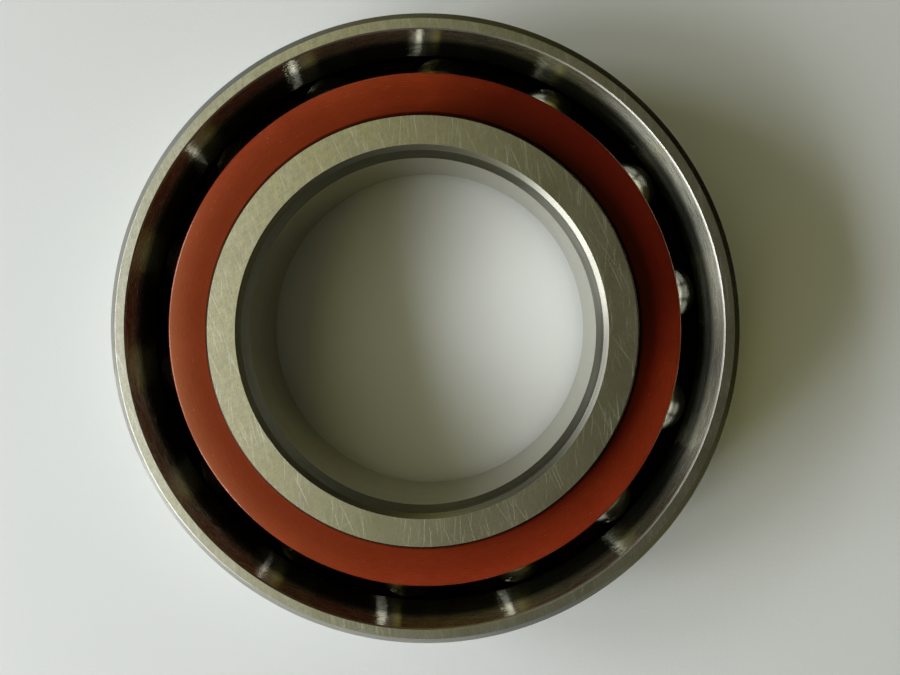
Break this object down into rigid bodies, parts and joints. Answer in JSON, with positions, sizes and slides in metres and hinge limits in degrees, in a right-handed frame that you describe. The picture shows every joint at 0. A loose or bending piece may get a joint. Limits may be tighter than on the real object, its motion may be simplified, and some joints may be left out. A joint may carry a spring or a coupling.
{
  "type": "angular contact ball bearing",
  "caption": "Single-row angular contact ball bearing lying on its back face, with a counterbored outer ring, an inner ring and a machined resin cage with balls.",
  "frame": {"origin": "where the bearing's axis meets the plane of the back face, the wide side face of the outer ring", "axes": "+Z along the bearing's axis, from the back face to the front face, which is the counterbored side of the outer ring; +X and +Y across the bearing"},
  "size_m": [0.09, 0.09, 0.02],
  "materials": {
    "ring_steel": "fine ground, satin, with light handling scratches",
    "ball_steel": "mirror polished",
    "cage_resin": "turned fabric-reinforced phenolic resin, satin"
  },
  "bodies": {
    "outer_ring": {"outer_ring": "ring_steel"},
    "inner_ring": {"inner_ring": "ring_steel"},
    "cage": {"cage": "cage_resin"},
    "ball_01": {"ball_01": "ball_steel"},
    "ball_02": {"ball_02": "ball_steel"},
    "ball_03": {"ball_03": "ball_steel"},
    "ball_04": {"ball_04": "ball_steel"},
    "ball_05": {"ball_05": "ball_steel"},
    "ball_06": {"ball_06": "ball_steel"},
    "ball_07": {"ball_07": "ball_steel"},
    "ball_08": {"ball_08": "ball_steel"},
    "ball_09": {"ball_09": "ball_steel"},
    "ball_10": {"ball_10": "ball_steel"},
    "ball_11": {"ball_11": "ball_steel"},
    "ball_12": {"ball_12": "ball_steel"},
    "ball_13": {"ball_13": "ball_steel"},
    "ball_14": {"ball_14": "ball_steel"}
  },
  "joints": [
    {"name": "inner_ring_spin", "type": "hinge", "parent": "outer_ring", "child": "inner_ring", "pos_m": [0, 0, 0.01], "axis": [0, 0, 1], "continuous": true},
    {"name": "cage_orbit", "type": "hinge", "parent": "outer_ring", "child": "cage", "pos_m": [0, 0, 0.01], "axis": [0, 0, 1], "continuous": true},
    {"name": "ball_01_roll", "type": "hinge", "parent": "cage", "child": "ball_01", "pos_m": [0.03457, 0.00548, 0.01], "axis": [0.4174, 0.0661, 0.9063], "continuous": true},
    {"name": "ball_02_roll", "type": "hinge", "parent": "cage", "child": "ball_02", "pos_m": [0.02877, 0.01993, 0.01], "axis": [0.3474, 0.2407, 0.9063], "continuous": true},
    {"name": "ball_03_roll", "type": "hinge", "parent": "cage", "child": "ball_03", "pos_m": [0.01727, 0.03044, 0.01], "axis": [0.2086, 0.3676, 0.9063], "continuous": true},
    {"name": "ball_04_roll", "type": "hinge", "parent": "cage", "child": "ball_04", "pos_m": [0.00235, 0.03492, 0.01], "axis": [0.0284, 0.4217, 0.9063], "continuous": true},
    {"name": "ball_05_roll", "type": "hinge", "parent": "cage", "child": "ball_05", "pos_m": [-0.01303, 0.03248, 0.01], "axis": [-0.1573, 0.3922, 0.9063], "continuous": true},
    {"name": "ball_06_roll", "type": "hinge", "parent": "cage", "child": "ball_06", "pos_m": [-0.02583, 0.02361, 0.01], "axis": [-0.3119, 0.2851, 0.9063], "continuous": true},
    {"name": "ball_07_roll", "type": "hinge", "parent": "cage", "child": "ball_07", "pos_m": [-0.03352, 0.01007, 0.01], "axis": [-0.4048, 0.1215, 0.9063], "continuous": true},
    {"name": "ball_08_roll", "type": "hinge", "parent": "cage", "child": "ball_08", "pos_m": [-0.03457, -0.00548, 0.01], "axis": [-0.4174, -0.0661, 0.9063], "continuous": true},
    {"name": "ball_09_roll", "type": "hinge", "parent": "cage", "child": "ball_09", "pos_m": [-0.02877, -0.01993, 0.01], "axis": [-0.3474, -0.2407, 0.9063], "continuous": true},
    {"name": "ball_10_roll", "type": "hinge", "parent": "cage", "child": "ball_10", "pos_m": [-0.01727, -0.03044, 0.01], "axis": [-0.2086, -0.3676, 0.9063], "continuous": true},
    {"name": "ball_11_roll", "type": "hinge", "parent": "cage", "child": "ball_11", "pos_m": [-0.00235, -0.03492, 0.01], "axis": [-0.0284, -0.4217, 0.9063], "continuous": true},
    {"name": "ball_12_roll", "type": "hinge", "parent": "cage", "child": "ball_12", "pos_m": [0.01303, -0.03248, 0.01], "axis": [0.1573, -0.3922, 0.9063], "continuous": true},
    {"name": "ball_13_roll", "type": "hinge", "parent": "cage", "child": "ball_13", "pos_m": [0.02583, -0.02361, 0.01], "axis": [0.3119, -0.2851, 0.9063], "continuous": true},
    {"name": "ball_14_roll", "type": "hinge", "parent": "cage", "child": "ball_14", "pos_m": [0.03352, -0.01007, 0.01], "axis": [0.4048, -0.1215, 0.9063], "continuous": true}
  ],
  "couplings": [
    {"joint": "cage_orbit", "follows": "inner_ring_spin", "ratio": 0.41778},
    {"joint": "ball_01_roll", "follows": "inner_ring_spin", "ratio": -2.6814},
    {"joint": "ball_02_roll", "follows": "inner_ring_spin", "ratio": -2.6814},
    {"joint": "ball_03_roll", "follows": "inner_ring_spin", "ratio": -2.6814},
    {"joint": "ball_04_roll", "follows": "inner_ring_spin", "ratio": -2.6814},
    {"joint": "ball_05_roll", "follows": "inner_ring_spin", "ratio": -2.6814},
    {"joint": "ball_06_roll", "follows": "inner_ring_spin", "ratio": -2.6814},
    {"joint": "ball_07_roll", "follows": "inner_ring_spin", "ratio": -2.6814},
    {"joint": "ball_08_roll", "follows": "inner_ring_spin", "ratio": -2.6814},
    {"joint": "ball_09_roll", "follows": "inner_ring_spin", "ratio": -2.6814},
    {"joint": "ball_10_roll", "follows": "inner_ring_spin", "ratio": -2.6814},
    {"joint": "ball_11_roll", "follows": "inner_ring_spin", "ratio": -2.6814},
    {"joint": "ball_12_roll", "follows": "inner_ring_spin", "ratio": -2.6814},
    {"joint": "ball_13_roll", "follows": "inner_ring_spin", "ratio": -2.6814},
    {"joint": "ball_14_roll", "follows": "inner_ring_spin", "ratio": -2.6814}
  ]
}
